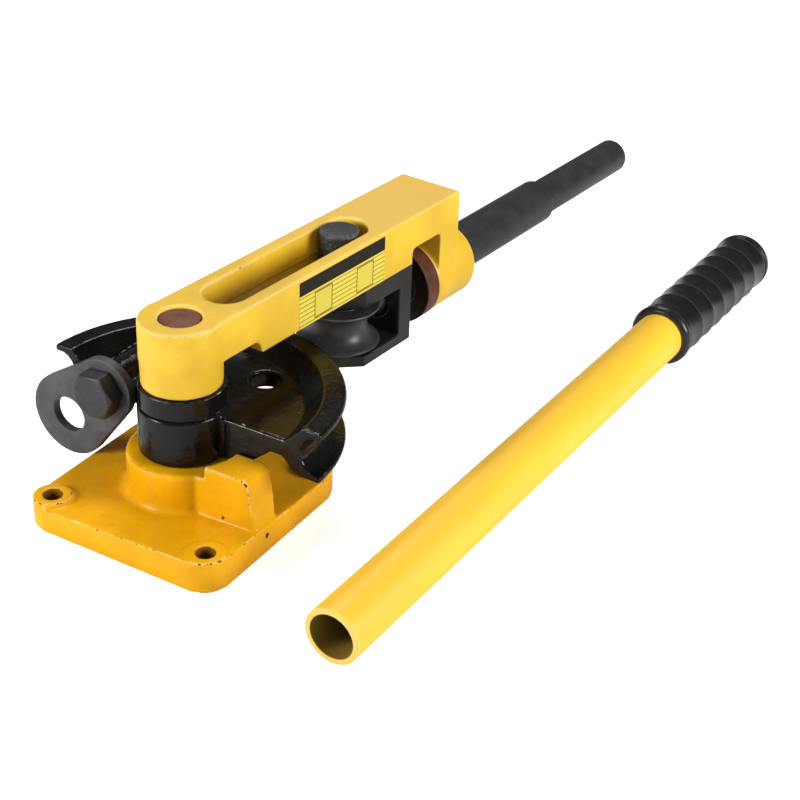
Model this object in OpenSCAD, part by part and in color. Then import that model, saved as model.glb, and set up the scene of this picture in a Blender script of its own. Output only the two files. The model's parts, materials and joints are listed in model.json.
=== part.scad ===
// Manual pipe bender on a bolted base, in millimetres, +Z up.
// The origin is the middle of the base's underside, on the axis of the main pin.

/* [Pipe] */
// outside diameter of the pipe that the die and the roller are made for
pipe_d = 25; // [20:0.5:30]
// height of the pipe's centre line, shared by groove, roller and spindle
pipe_z = 72.5; // [68:0.5:78]
// extra radius of the groove and of the roller over the pipe
pipe_play = 0.8; // [0.2:0.1:1.2]

/* [Base] */
// side of the square base plate
base_size = 150; // [120:1:180]
// radius of the plate's corners
base_corner_r = 18; // [8:1:30]
// plate thickness over the far half
plate_t = 17; // [12:0.5:24]
// how much thicker the plate grows at the near corner
near_rise = 5.5; // [0:0.5:8]
// diameter of the four bolt holes
hole_d = 12.4; // [9:0.1:16]
// distance of a hole's centre from the plate's sides
hole_inset = 14; // [12:1:24]
// diameter of the raised pad round a hole
pad_d = 26; // [20:1:34]
// height of a pad over the flat part of the plate
pad_h = 3.5; // [0.5:0.5:5]
// height of the near pad over the rising plate
near_pad_h = 1; // [0.5:0.5:4]
// radius of the round boss
boss_r = 38; // [34:0.5:44]
// top of the boss
boss_top = 47; // [40:0.5:50]
// fillet between boss and plate
boss_fillet = 7; // [2:1:10]

/* [Stop block] */
// width of the block along X
block_w = 25.7; // [18:0.1:30]
// height of its top
block_top = 56.5; // [52:0.5:60]
// reach of its top edge from the pin
block_reach = 68; // [62:0.5:72]
// reach of its foot from the pin
block_foot = 73.5; // [68:0.5:74.5]
// radius of its upright edges
block_edge_r = 5; // [2:0.5:8]
// radius of the hollow that clears the die's hub
block_hollow_r = 42.5; // [32:0.5:46]

/* [Main pin] */
// radius of the pin
pin_r = 14; // [12:0.1:16]
// height of its top
pin_top = 140.4; // [130:0.2:141]
// radius of its head in the underside
pin_head_r = 20; // [17:0.5:24]
// thickness of that head
pin_head_t = 8; // [5:0.5:12]

/* [Die] */
// outer radius of the rim
rim_r = 105; // [90:0.5:115]
// height of the rim
rim_h = 36; // [32:0.5:40]
// radius of the hub
hub_r = 29.5; // [24:0.5:34]
// top of the hub
hub_top = 81.3; // [78:0.1:84]
// thickness of the web
web_t = 12.5; // [8:0.5:16]
// top of the web
web_top = 78; // [74:0.5:82]
// radius where the web turns up into the rim
web_r = 78.5; // [70:0.5:84]
// flat width of the rim's top
rim_flat = 14.5; // [8:0.5:18]
// diameter of the hole in the web
web_hole_d = 21.5; // [14:0.5:26]
// distance of that hole from the pin
web_hole_at = 62; // [50:0.5:66]
// direction of that hole in degrees
web_hole_turn = -23.9; // [-60:0.1:60]
// width of the stop rib under the web
rib_w = 14; // [8:0.5:20]
// height of the rib's underside
rib_z = 48.5; // [48:0.5:60]
// length of the rib's flat underside, from the pin
rib_flat = 47; // [40:1:60]
// where the rib's slope meets the web
rib_reach = 68; // [60:1:74]

/* [Eye] */
// distance of the eye bolt from the pin
bolt_y = 60.2; // [50:0.2:66]
// height of the eye bolt
bolt_z = 72.3; // [70:0.1:78]
// radius of the boss that takes the bolt
bolt_boss_r = 14; // [12:0.5:16]
// length of that boss
bolt_boss_len = 46; // [30:1:60]
// radius of the bolt's shank
bolt_r = 10; // [8:0.5:12]
// width across the flats of its head
bolt_flats = 30; // [24:0.5:34]
// thickness of its head
bolt_head_t = 12.5; // [8:0.5:14]
// turn of its head from a corner on top, in degrees
bolt_head_turn = 24; // [0:1:60]
// thickness of the eye plate
eye_t = 6.7; // [5:0.1:12]
// outer radius round the bolt
eye_bolt_lobe_r = 22.3; // [18:0.1:26]
// outer radius round the eye
eye_lobe_r = 29.7; // [24:0.1:30]
// extra radius of the eye over the pipe
eye_play = 0.3; // [0.2:0.1:1.2]
// angle that the plate hangs at
eye_hang = -43; // [-60:1:0]

/* [Arm] */
// angle of the arm from the X axis
arm_turn = -4.8; // [-90:0.1:60]
// half width of the arm
arm_half = 26.2; // [22:0.1:26.4]
// radius of the neck
neck_r = 27.2; // [27:0.1:30]
// top of the arm
arm_top = 141.9; // [136:0.1:148]
// underside of the neck
neck_z = 95.8; // [94:0.1:98]
// underside of the arch beside the neck
arch_z = 113.5; // [108:0.5:118]
// where the arch ends
arch_end = 48; // [40:1:60]
// underside of the beam
beam_z = 104; // [100:0.5:110]
// where the thick beam ends
beam_end = 219; // [200:1:230]
// underside of the thin bridge
bridge_z = 116; // [110:0.5:124]
// inner face of the end lug
lug_start = 255; // [245:1:260]
// outer face of the arm's top
arm_end = 278.5; // [265:0.5:290]
// radius of the lug round the spindle
lug_r = 29.5; // [26:0.5:32]
// outer end of the lug's round boss
lug_end = 300.5; // [280:0.5:310]
// slot's near end
slot_start = 29.5; // [24:0.5:40]
// slot's far end
slot_end = 187; // [150:0.5:200]
// half width of the slot
slot_half = 14.3; // [13:0.1:16]

/* [Roller carriage] */
// distance of the roller's axle from the pin
axle_s = 165; // [137:0.5:172]
// radius of the axle
axle_r = 14; // [10:0.5:14]
// top of the axle
axle_top = 143.5; // [136:0.5:150]
// outer radius of the roller's flanges
roller_r = 30.3; // [26:0.1:32]
// radius at the roller's waist
roller_waist_r = 21; // [18:0.5:24]
// height of the roller
roller_h = 29.4; // [27:0.2:32]
// half width of the fork
fork_half = 24; // [18:0.5:28]
// front of the fork, seen from the pin
fork_front = 150; // [140:0.5:155]
// back of the fork
fork_back = 222; // [210:0.5:225]
// underside of the fork
fork_z = 42; // [38:0.1:46]
// top of the fork
fork_top = 103.4; // [98:0.1:104]
// thickness of the lower jaw
jaw_t = 8; // [6:0.5:12]
// underside of the upper jaw
jaw_upper_z = 88.3; // [86:0.1:92]
// thickness of the back wall
fork_wall = 14.8; // [12:0.1:18]
// cut off the fork's front corners
fork_cut = 15; // [4:0.5:18]
// radius of the lead screw
screw_r = 10; // [8:0.5:12]
// width across the flats of the nut outside the fork
nut_flats = 30; // [26:0.5:32]
// width across the flats of the nut sunk into the fork's back wall
inner_nut_flats = 24; // [22:0.5:25]
// thickness of the nuts
nut_t = 8; // [6:0.5:9]
// width of the rings over and under the roller
spacer_w = 4.5; // [3:0.5:8]

/* [Spindle] */
// radius of the thick sleeve
sleeve_r = 17.8; // [15:0.1:20]
// shoulder where the sleeve ends
sleeve_end = 438; // [380:1:480]
// outer radius of the thick thrust washer that is fixed on the sleeve
washer_r = 30; // [24:0.5:32]
// thickness of the thrust washer
washer_t = 15; // [8:0.5:18]
// radius of the spigot that takes the handle
spigot_r = 14.6; // [12:0.1:16]
// tip of the spigot
spigot_end = 570; // [500:1:600]

/* [Handle] */
// near end of the tube
handle_at = [-85, -168];
// direction of the tube
handle_turn = -2.4; // [-20:0.05:20]
// outside radius of the tube
tube_r = 19.05; // [16:0.05:22]
// inside radius of the tube
tube_bore_r = 15; // [14.8:0.05:17]
// length of the tube
tube_len = 598; // [400:1:700]
// where the grip starts along the tube
grip_start = 443; // [250:1:500]
// overall length of tube and grip
handle_len = 610; // [420:1:720]
// largest radius of the grip, at its mouth
grip_r = 24.4; // [20:0.1:26]
// depth of the hollows between the ridges
grip_dip = 1.1; // [0.4:0.1:2]
// number of hollows
grip_rings = 7; // [4:1:12]

/* [Hidden] */
$fn = 96;
half = base_size / 2;
hole_at = half - hole_inset;
near_slope = atan(near_rise / (half * sqrt(2)));
run_gap = 0.05;
face_gap = 0.2;
block_x1 = -0.3;
die_face = 0;
groove_r = pipe_d / 2 + pipe_play;
bend_r = rim_r - 2.2;
hub_z = boss_top + face_gap;
web_z = web_top - web_t;
rim_top = pipe_z + rim_h / 2;
rim_z = pipe_z - rim_h / 2;
ring_z = hub_top + face_gap;
ring_r = hub_r - 1;
eye_hole_r = pipe_d / 2 + eye_play;
eye_x1 = die_face - 0.3;
eye_x0 = eye_x1 - eye_t;
head_x1 = eye_x0 - face_gap;
eye_reach = sqrt(pow(bend_r - bolt_y, 2) + pow(bolt_z - pipe_z, 2));
inner_boss_s = lug_start - 3.5;
washer_s = inner_boss_s - face_gap - washer_t;
roller_z = pipe_z - roller_h / 2;
roller_top = roller_z + roller_h;
jaw_top = fork_z + jaw_t;
wall_s = fork_back - fork_wall;
nut_sink = 0.4;
screw_s = wall_s + nut_sink;
nut_recess_r = inner_nut_flats / 2 / cos(30) + 0.3;
screw_end = 330;
tap_end = screw_end + 14;
press_s = sleeve_end - 48;
press_r = spigot_r - 1.1;
bead_r = 5;
ridge_r = grip_r - 0.6;
grip_ring_start = grip_start + 2 * bead_r;
grip_ring_end = handle_len - 10;
ring_pitch = (grip_ring_end - grip_ring_start) / grip_rings;
handle_tilt = asin((grip_r - tube_r) / (grip_start + bead_r));

// points of an arc, from angle a to angle b in n steps
function arc(c, r, a, b, n) =
  [for (i = [0:n]) [c[0] + r * cos(a + (b - a) * i / n), c[1] + r * sin(a + (b - a) * i / n)]];

// square with round corners, centred
module round_square(w, r) {
  square([w, w - 2 * r], center = true);
  square([w - 2 * r, w], center = true);
  for (x = [-1, 1], y = [-1, 1])
    translate([x * (w / 2 - r), y * (w / 2 - r)])
      circle(r);
}

// the arm's own frame: X along the arm
module along_arm() {
  rotate([0, 0, arm_turn])
    children();
}

// the spindle's frame: Z along the arm at the pipe's height
module along_spindle() {
  along_arm()
    translate([0, 0, pipe_z])
      rotate([0, 90, 0])
        children();
}

// the handle's frame: Z along the tube, which lies on the floor
module along_handle() {
  translate([handle_at[0], handle_at[1], tube_r])
    rotate([0, -handle_tilt, handle_turn])
      rotate([0, 90, 0])
        children();
}

// a flat outline in Y and Z, given thickness along X
module slab_x(x0, x1) {
  translate([x0, 0, 0])
    rotate([90, 0, 90])
      linear_extrude(x1 - x0)
        children();
}

// plate that grows thicker from its diagonal to the near corner
module base_plate() {
  linear_extrude(plate_t)
    round_square(base_size, base_corner_r);
  intersection() {
    linear_extrude(plate_t + near_rise)
      round_square(base_size, base_corner_r);
    translate([0, 0, plate_t])
      rotate([0, -near_slope, 225])
        translate([0, -base_size, -plate_t])
          cube([base_size, 2 * base_size, plate_t]);
  }
}

// top of the pad at one corner
function pad_top(x, y) =
  plate_t + (x < 0 && y < 0 ? near_pad_h + near_rise * hole_at / half : pad_h);

// round boss with a hollow fillet at its foot and a rounded top edge
module base_boss() {
  edge = 2.5;
  rotate_extrude()
    difference() {
      polygon(concat(
        [[0, 1], [boss_r + boss_fillet, 1], [boss_r + boss_fillet, plate_t],
          [boss_r, plate_t + boss_fillet]],
        arc([boss_r - edge, boss_top - edge], edge, 0, 90, 4),
        [[0, boss_top]]));
      translate([boss_r + boss_fillet, plate_t + boss_fillet])
        circle(boss_fillet);
    }
}

// upright block that holds the die's rib
module stop_block() {
  edge = 4;
  inner = 24;
  difference() {
    intersection() {
      slab_x(block_x1 - block_w, block_x1)
        polygon(concat(
          [[-inner, 1], [-block_foot, 1], [-block_foot, plate_t + 1]],
          arc([-block_reach + edge, block_top - edge], edge, 175, 90, 4),
          [[-inner, block_top]]));
      translate([block_x1 - block_w / 2, -block_foot / 2, 0])
        linear_extrude(block_top + 1) {
          square([block_w, block_foot - 2 * block_edge_r], center = true);
          square([block_w - 2 * block_edge_r, block_foot], center = true);
          for (x = [-1, 1])
            translate([x * (block_w / 2 - block_edge_r), block_edge_r - block_foot / 2])
              circle(block_edge_r);
        }
    }
    translate([0, 0, boss_top])
      cylinder(r = block_hollow_r, h = block_top);
  }
}

module base_casting() {
  color("#e3a512")
    difference() {
      union() {
        base_plate();
        base_boss();
        stop_block();
        for (x = [-1, 1], y = [-1, 1])
          translate([x * hole_at, y * hole_at, 1])
            cylinder(d = pad_d, h = pad_top(x, y) - 1);
      }
      for (x = [-1, 1], y = [-1, 1])
        translate([x * hole_at, y * hole_at, -1])
          cylinder(d = hole_d, h = plate_t + near_rise + pad_h + 5);
      translate([0, 0, -1])
        cylinder(r = pin_r, h = boss_top + 2);
      translate([0, 0, -1])
        cylinder(r = pin_head_r + 0.3, h = pin_head_t + 3);
    }
}

module main_pin() {
  bevel = 1.2;
  color("#5a3427")
    rotate_extrude()
      polygon([[0, 2], [pin_head_r - 1, 2], [pin_head_r, 3], [pin_head_r, 2 + pin_head_t],
        [pin_r, 2 + pin_head_t], [pin_r, pin_top - bevel], [pin_r - bevel, pin_top], [0, pin_top]]);
}

// section of web and rim with the pipe groove
module die_section() {
  rim_in = rim_r - rim_flat;
  lip = 1.5;
  difference() {
    polygon([[hub_r - 6, web_z], [web_r - 2.5, web_z], [web_r + 1.5, web_z - 3.5], [web_r + 4, rim_z + 4],
      [web_r + 8.5, rim_z + 0.7], [web_r + 14, rim_z], [rim_r - lip, rim_z], [rim_r, rim_z + lip],
      [rim_r, rim_top - lip], [rim_r - lip, rim_top], [rim_in, rim_top], [web_r, web_top],
      [hub_r - 6, web_top]]);
    translate([bend_r, pipe_z])
      circle(groove_r);
  }
}

// hub with a small rounding where it stands out of the web
module die_hub() {
  fillet = 4;
  rotate_extrude()
    polygon([[0, hub_z], [hub_r - 1.5, hub_z], [hub_r, hub_z + 1.5], [hub_r, hub_top - 1.2],
      [hub_r - 1.2, hub_top], [0, hub_top]]);
  rotate([0, 0, -90])
    rotate_extrude(angle = 180)
      difference() {
        translate([hub_r - 1, web_z - fillet])
          square([fillet + 1, fillet + 1]);
        translate([hub_r + fillet, web_z - fillet])
          circle(fillet);
      }
}

module bending_die() {
  color("#1d1d1c")
    difference() {
      union() {
        rotate([0, 0, -90])
          rotate_extrude(angle = 180)
            die_section();
        die_hub();
        slab_x(die_face, die_face + rib_w)
          polygon([[-hub_r + 8, web_top - 1], [-hub_r + 8, rib_z], [-rib_flat, rib_z],
            [-rib_reach, web_z + 0.5], [-rib_reach - 2, web_z + 0.5], [-rib_reach - 2, web_top - 1]]);
        translate([die_face, bolt_y, bolt_z])
          rotate([0, 90, 0])
            cylinder(r = bolt_boss_r, h = bolt_boss_len);
      }
      translate([0, 0, hub_z - 1])
        cylinder(r = pin_r + run_gap, h = hub_top);
      rotate([0, 0, web_hole_turn])
        translate([web_hole_at, 0, web_z - 1])
          cylinder(d = web_hole_d, h = web_t + 2);
      translate([die_face - 1, bolt_y, bolt_z])
        rotate([0, 90, 0])
          cylinder(r = bolt_r, h = bolt_boss_len - 8);
    }
}

module spacer_ring() {
  lip = 1;
  color("#1a1a1a")
    rotate_extrude()
      polygon([[pin_r, ring_z], [ring_r - lip, ring_z], [ring_r, ring_z + lip],
        [ring_r, neck_z - face_gap - lip], [ring_r - lip, neck_z - face_gap], [pin_r, neck_z - face_gap]]);
}

// point at angle a on a circle of radius r round m
function rim_point(m, r, a) = [m[0] + r * cos(a), m[1] + r * sin(a)];

// outline of the eye plate: two round lobes and the straight sides between them
module eye_outline() {
  bolt = [bolt_y, bolt_z];
  eye = rim_point(bolt, eye_reach, eye_hang);
  spread = acos((eye_bolt_lobe_r - eye_lobe_r) / eye_reach);
  side_bolt_r = eye_bolt_lobe_r - 0.06;
  side_eye_r = eye_lobe_r - 0.06;
  difference() {
    union() {
      translate(bolt)
        circle(eye_bolt_lobe_r);
      translate(eye)
        circle(eye_lobe_r);
      polygon([rim_point(bolt, side_bolt_r, eye_hang - spread),
        rim_point(eye, side_eye_r, eye_hang - spread),
        rim_point(eye, side_eye_r, eye_hang + spread), rim_point(bolt, side_bolt_r, eye_hang + spread)]);
    }
    translate(bolt)
      circle(bolt_r + run_gap);
    translate(eye)
      circle(eye_hole_r);
  }
}

module eye_plate() {
  color("#3a3a39")
    slab_x(eye_x0, eye_x1)
      eye_outline();
}

module eye_bolt() {
  corner_r = bolt_flats / 2 / cos(30);
  face_r = bolt_flats / 2 - 1.1;
  color("#2a2a2a")
    translate([head_x1, bolt_y, bolt_z])
      rotate([0, 90, 0]) {
        cylinder(r = bolt_r, h = bolt_boss_len - 10 - head_x1);
        translate([0, 0, -bolt_head_t])
          intersection() {
            rotate([0, 0, bolt_head_turn])
              cylinder(r = corner_r, h = bolt_head_t, $fn = 6);
            cylinder(r1 = face_r, r2 = face_r + 1.8 * bolt_head_t, h = bolt_head_t);
          }
      }
}

// side view of the arm: arch, beam, bridge and lug
module arm_side() {
  arch = 7;
  corner = 4;
  polygon(concat(
    [[-2 * neck_r, arm_top], [-2 * neck_r, arch_z], [arch_end - arch, arch_z]],
    arc([arch_end - arch, arch_z - arch], arch, 90, 10, 5),
    [[arch_end + 1, beam_z], [beam_end, beam_z]],
    arc([beam_end + corner, bridge_z - corner], corner, 180, 90, 4),
    arc([lug_start - corner, bridge_z - corner], corner, 90, 0, 4),
    [[lug_start, pipe_z], [arm_end, pipe_z], [arm_end, arm_top]]));
}

// top view of the arm: round over the neck, straight to the end
module arm_plan() {
  circle(neck_r);
  translate([0, -arm_half])
    square([arm_end + 1, 2 * arm_half]);
}

// the side view given the top view's outline, and the round neck under it
module arm_body() {
  draft = 0.8;
  intersection() {
    rotate([90, 0, 0])
      linear_extrude(4 * neck_r, center = true)
        arm_side();
    translate([0, 0, pipe_z - 1])
      linear_extrude(arm_top)
        arm_plan();
  }
  translate([0, 0, neck_z])
    cylinder(r1 = neck_r - draft, r2 = neck_r - 0.3, h = arch_z - neck_z + 5);
}

module lever_arm() {
  slot_a = slot_start + slot_half;
  slot_b = slot_end - slot_half;
  color("#f2c126")
    difference() {
      union() {
        along_arm()
          arm_body();
        along_spindle() {
          translate([0, 0, lug_start])
            cylinder(r = lug_r, h = lug_end - lug_start);
          translate([0, 0, inner_boss_s])
            cylinder(r = lug_r - 1, h = lug_start - inner_boss_s + 1);
        }
      }
      translate([0, 0, neck_z - 1])
        cylinder(r = pin_r + run_gap, h = arm_top);
      along_arm()
        translate([0, 0, beam_z - 20])
          linear_extrude(arm_top) {
            translate([slot_a, -slot_half])
              square([slot_b - slot_a, 2 * slot_half]);
            for (s = [slot_a, slot_b])
              translate([s, 0])
                circle(slot_half);
          }
      along_spindle()
        translate([0, 0, inner_boss_s - 1])
          cylinder(r = sleeve_r + run_gap, h = lug_end);
    }
}

module thrust_washer() {
  edge = 0.8;
  color("#6a3a2c")
    along_spindle()
      rotate_extrude()
        polygon([[sleeve_r, washer_s], [washer_r - edge, washer_s], [washer_r, washer_s + edge],
          [washer_r, washer_s + washer_t - edge], [washer_r - edge, washer_s + washer_t],
          [sleeve_r, washer_s + washer_t]]);
}

module spindle_sleeve() {
  edge = 1.5;
  color("#262626")
    along_spindle()
      rotate_extrude()
        polygon([[screw_r + run_gap, washer_s], [sleeve_r, washer_s], [sleeve_r, sleeve_end - edge],
          [sleeve_r - edge, sleeve_end], [press_r, sleeve_end], [press_r, press_s],
          [screw_r - 2, press_s], [screw_r - 2, tap_end], [screw_r + run_gap, tap_end]]);
}

module spindle_spigot() {
  tip = 2.5;
  color("#2b2b2b")
    along_spindle()
      rotate_extrude()
        polygon(concat(
          [[0, press_s], [press_r, press_s], [press_r, sleeve_end], [spigot_r, sleeve_end]],
          arc([spigot_r - tip, spigot_end - tip], tip, 0, 90, 4),
          [[0, spigot_end]]));
}

module roller_fork() {
  color("#242424")
    difference() {
      along_arm()
        translate([0, 0, fork_z])
          linear_extrude(fork_top - fork_z)
            polygon([[fork_front + fork_cut, fork_half], [fork_front, fork_half - fork_cut],
              [fork_front, fork_cut - fork_half], [fork_front + fork_cut, -fork_half],
              [fork_back, -fork_half], [fork_back, fork_half]]);
      along_arm()
        translate([fork_front - 1, -fork_half - 1, jaw_top])
          cube([wall_s - fork_front + 1, 2 * fork_half + 2, jaw_upper_z - jaw_top]);
      along_arm()
        translate([axle_s, 0, fork_z - 1])
          cylinder(r = axle_r, h = fork_top);
      along_spindle() {
        translate([0, 0, wall_s - 1])
          cylinder(r = screw_r, h = fork_wall + 2);
        translate([0, 0, wall_s - 1])
          cylinder(r = nut_recess_r, h = nut_sink + nut_t + 1);
      }
    }
}

module lead_screw() {
  color("#4a4a4a")
    along_spindle()
      rotate_extrude()
        polygon([[0, screw_s], [screw_r - 1, screw_s], [screw_r, screw_s + 1],
          [screw_r, screw_end - 2], [screw_r - 2, screw_end], [0, screw_end]]);
}

// nut on the lead screw with a flat side up, starting at s
module screw_nut(s, flats) {
  color("#333333")
    along_spindle()
      translate([0, 0, s])
        difference() {
          rotate([0, 0, 30])
            cylinder(r = flats / 2 / cos(30), h = nut_t, $fn = 6);
          translate([0, 0, -1])
            cylinder(r = screw_r, h = nut_t + 2);
        }
}

module screw_nut_inner() {
  screw_nut(wall_s + nut_sink, inner_nut_flats);
}

module screw_nut_outer() {
  screw_nut(fork_back, nut_flats);
}

module roller_axle() {
  edge = 3;
  color("#232323")
    along_arm()
      translate([axle_s, 0, 0])
        rotate_extrude()
          polygon(concat(
            [[0, fork_z], [axle_r, fork_z]],
            arc([axle_r - edge, axle_top - edge], edge, 0, 90, 4),
            [[0, axle_top]]));
}

// plain ring on the roller's axle between two heights
module roller_spacer(z0, z1) {
  color("#3a3a3a")
    along_arm()
      translate([axle_s, 0, 0])
        rotate_extrude()
          translate([axle_r, z0])
            square([spacer_w, z1 - z0]);
}

module roller_spacer_lower() {
  roller_spacer(jaw_top, roller_z - face_gap);
}

module roller_spacer_upper() {
  roller_spacer(roller_top + face_gap, jaw_upper_z);
}

module form_roller() {
  edge = 0.8;
  color("#2c2c2c")
    along_arm()
      translate([axle_s, 0, 0])
        rotate_extrude()
          difference() {
            polygon([[axle_r + run_gap, roller_z], [roller_r - edge, roller_z], [roller_r, roller_z + edge],
              [roller_r, roller_top - edge], [roller_r - edge, roller_top], [axle_r + run_gap, roller_top]]);
            translate([roller_waist_r + groove_r, pipe_z])
              circle(groove_r);
          }
}

module handle_tube() {
  edge = 0.6;
  color("#f2c126")
    along_handle()
      rotate_extrude()
        polygon([[tube_bore_r, edge], [tube_bore_r + edge, 0], [tube_r - edge, 0], [tube_r, edge],
          [tube_r, tube_len], [tube_bore_r, tube_len]]);
}

// one hollow of the grip between two ridges
function grip_hollow(i) =
  [for (k = [1:7]) [ridge_r - grip_dip * sin(180 * k / 8), grip_ring_start + ring_pitch * (i + k / 8)]];

module grip_section() {
  end_edge = 3;
  polygon(concat(
    [[tube_r, grip_start]],
    arc([grip_r - bead_r, grip_start + bead_r], bead_r, -80, 35, 7),
    [for (i = [0:grip_rings - 1])
      each concat([[ridge_r, grip_ring_start + ring_pitch * i]], grip_hollow(i))],
    [[ridge_r, grip_ring_end], [ridge_r - 0.6, grip_ring_end + 1.5], [ridge_r - 0.6, grip_ring_end + 3]],
    arc([grip_r - end_edge, handle_len - end_edge], end_edge, -30, 90, 5),
    [[0, handle_len], [0, tube_len], [tube_r, tube_len]]));
}

module handle_grip() {
  color("#1c1c1c")
    along_handle()
      rotate_extrude()
        grip_section();
}

base_casting();
main_pin();
bending_die();
spacer_ring();
eye_plate();
eye_bolt();
lever_arm();
thrust_washer();
spindle_sleeve();
spindle_spigot();
roller_fork();
lead_screw();
screw_nut_inner();
screw_nut_outer();
roller_axle();
roller_spacer_lower();
roller_spacer_upper();
form_roller();
handle_tube();
handle_grip();
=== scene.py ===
"""Dresses the solids of a manual pipe bender with finished surfaces and sets them in a small photo studio."""
import json
import math
from functools import cached_property

import bmesh
import bpy
import numpy as np
from bpy.props import FloatProperty, FloatVectorProperty, IntProperty, PointerProperty
from mathutils import Matrix

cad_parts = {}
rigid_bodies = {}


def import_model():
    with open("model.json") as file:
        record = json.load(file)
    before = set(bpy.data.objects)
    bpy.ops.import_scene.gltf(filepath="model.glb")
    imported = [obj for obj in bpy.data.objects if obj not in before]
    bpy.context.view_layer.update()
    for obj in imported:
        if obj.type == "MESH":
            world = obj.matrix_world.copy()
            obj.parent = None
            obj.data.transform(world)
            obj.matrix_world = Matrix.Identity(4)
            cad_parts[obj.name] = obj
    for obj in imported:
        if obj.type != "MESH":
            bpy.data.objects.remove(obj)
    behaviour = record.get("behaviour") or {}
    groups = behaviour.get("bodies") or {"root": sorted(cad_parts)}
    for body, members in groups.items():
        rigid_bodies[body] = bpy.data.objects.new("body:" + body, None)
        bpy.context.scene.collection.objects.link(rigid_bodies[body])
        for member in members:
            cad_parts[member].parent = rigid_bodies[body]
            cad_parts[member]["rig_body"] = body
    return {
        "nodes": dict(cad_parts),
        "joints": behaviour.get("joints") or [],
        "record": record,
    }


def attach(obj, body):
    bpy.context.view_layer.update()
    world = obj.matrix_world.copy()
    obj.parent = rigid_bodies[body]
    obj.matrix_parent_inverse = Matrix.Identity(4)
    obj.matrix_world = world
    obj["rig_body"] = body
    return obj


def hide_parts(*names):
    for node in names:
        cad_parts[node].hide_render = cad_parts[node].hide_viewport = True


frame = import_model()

bl_info = {
    "name": "Pipe bender dressing",
    "version": (1, 0, 0),
    "blender": (4, 5, 0),
    "location": "View3D > Sidebar > Bender",
    "description": "Finished surfaces, label and studio for the solids of a manual pipe bender",
    "category": "Object",
}

MM = 0.001
WELD_GAP = 1e-6
FLAT_ANGLE = math.radians(0.3)
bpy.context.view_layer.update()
NODES = frame["nodes"]
JOINTS = {joint["name"]: joint for joint in frame["joints"]}
MOUNTS = {mount["name"]: mount for mount in frame["record"]["mounts"]}
UP = np.array([0.0, 0.0, 1.0])


def read(items, key, width, kind=float):
    """One property of all items of a mesh as an array with that many columns."""
    flat = np.empty(width * len(items), dtype=kind)
    items.foreach_get(key, flat)
    return flat.reshape(-1, width)


def points(node):
    """Vertices of a CAD node as an array."""
    return read(NODES[node].data.vertices, "co", 3)


class Axis:
    """A line in the row frame: heights run along it, radii stand off it at an angle from its left side."""

    def __init__(self, origin, along, guide=UP):
        self.origin = np.array(origin, float)
        self.along = np.array(along, float) / np.linalg.norm(along)
        across = np.cross(guide, self.along)
        self.left = across / np.linalg.norm(across)
        self.top = np.cross(self.along, self.left)

    def place(self, height, radius, angle):
        """origin + height * along + radius * (cos(angle) * left + sin(angle) * top), for whole arrays."""
        ring = np.cos(angle)[..., None] * self.left + np.sin(angle)[..., None] * self.top
        return self.origin + height[..., None] * self.along + radius[..., None] * ring

    def local(self, places):
        """(along, left, top) of places in the row frame."""
        return (places - self.origin) @ np.stack([self.along, self.left, self.top], axis=1)

    def polar(self, node):
        """Height along the axis and distance from it, for the vertices of a CAD node."""
        height, left, top = self.local(points(node)).T
        return height, np.hypot(left, top)

    def span(self, node):
        """Lowest and highest place of a CAD node along the axis."""
        height = self.polar(node)[0]
        return float(height.min()), float(height.max())

    def radii(self, node, low=-math.inf, high=math.inf):
        """Smallest and largest distance from the axis of a CAD node's vertices between two heights."""
        height, radius = self.polar(node)
        radius = radius[(height >= low) & (height <= high)]
        return float(radius.min()), float(radius.max())


ARM = np.array(JOINTS["carriage_slide"]["axis"], float)
PIN_AXIS = Axis((0, 0, 0), UP, ARM)
EAST_AXIS = Axis((0, 0, 0), (1, 0, 0))
ARM_AXIS = Axis((0, 0, 0), ARM)
SPINDLE_AXIS = Axis((0, 0, JOINTS["spindle_spin"]["pos_m"][2]), ARM)
AXLE_AXIS = Axis((*JOINTS["roller_spin"]["pos_m"][:2], 0), UP, ARM)
TUBE_AXIS = Axis(MOUNTS["handle_socket"]["pos_m"], -np.array(MOUNTS["handle_socket"]["axis"]))


class BenderColours(bpy.types.PropertyGroup):
    """Colours of the finishes, in linear light."""

    base_yellow: FloatVectorProperty(
        name="Base yellow", description="Enamel of the base", subtype="COLOR", default=(0.76, 0.368, 0.003))
    arm_yellow: FloatVectorProperty(
        name="Arm yellow", description="Enamel of the arm", subtype="COLOR", default=(0.735, 0.462, 0.026))
    tube_yellow: FloatVectorProperty(
        name="Tube yellow", description="Paint of the tube", subtype="COLOR", default=(0.80, 0.47, 0.030))
    die_black: FloatVectorProperty(
        name="Die black", description="Enamel of the die", subtype="COLOR", default=(0.005, 0.0048, 0.0045))
    oxide_black: FloatVectorProperty(
        name="Oxide black", description="Oxide on steel", subtype="COLOR", default=(0.016, 0.016, 0.0165))
    eye_grey: FloatVectorProperty(
        name="Eye grey", description="Worn oxide of the eye", subtype="COLOR", default=(0.055, 0.055, 0.056))
    pin_brown: FloatVectorProperty(
        name="Pin brown", description="Brown hardened steel", subtype="COLOR", default=(0.145, 0.050, 0.026))
    screw_grey: FloatVectorProperty(
        name="Screw grey", description="Oiled thread", subtype="COLOR", default=(0.30, 0.29, 0.27))
    grip_black: FloatVectorProperty(
        name="Grip black", description="Soft grip", subtype="COLOR", default=(0.006, 0.006, 0.0065))
    label_yellow: FloatVectorProperty(
        name="Label yellow", description="Ground of the label", subtype="COLOR", default=(0.68, 0.55, 0.075))


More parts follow.
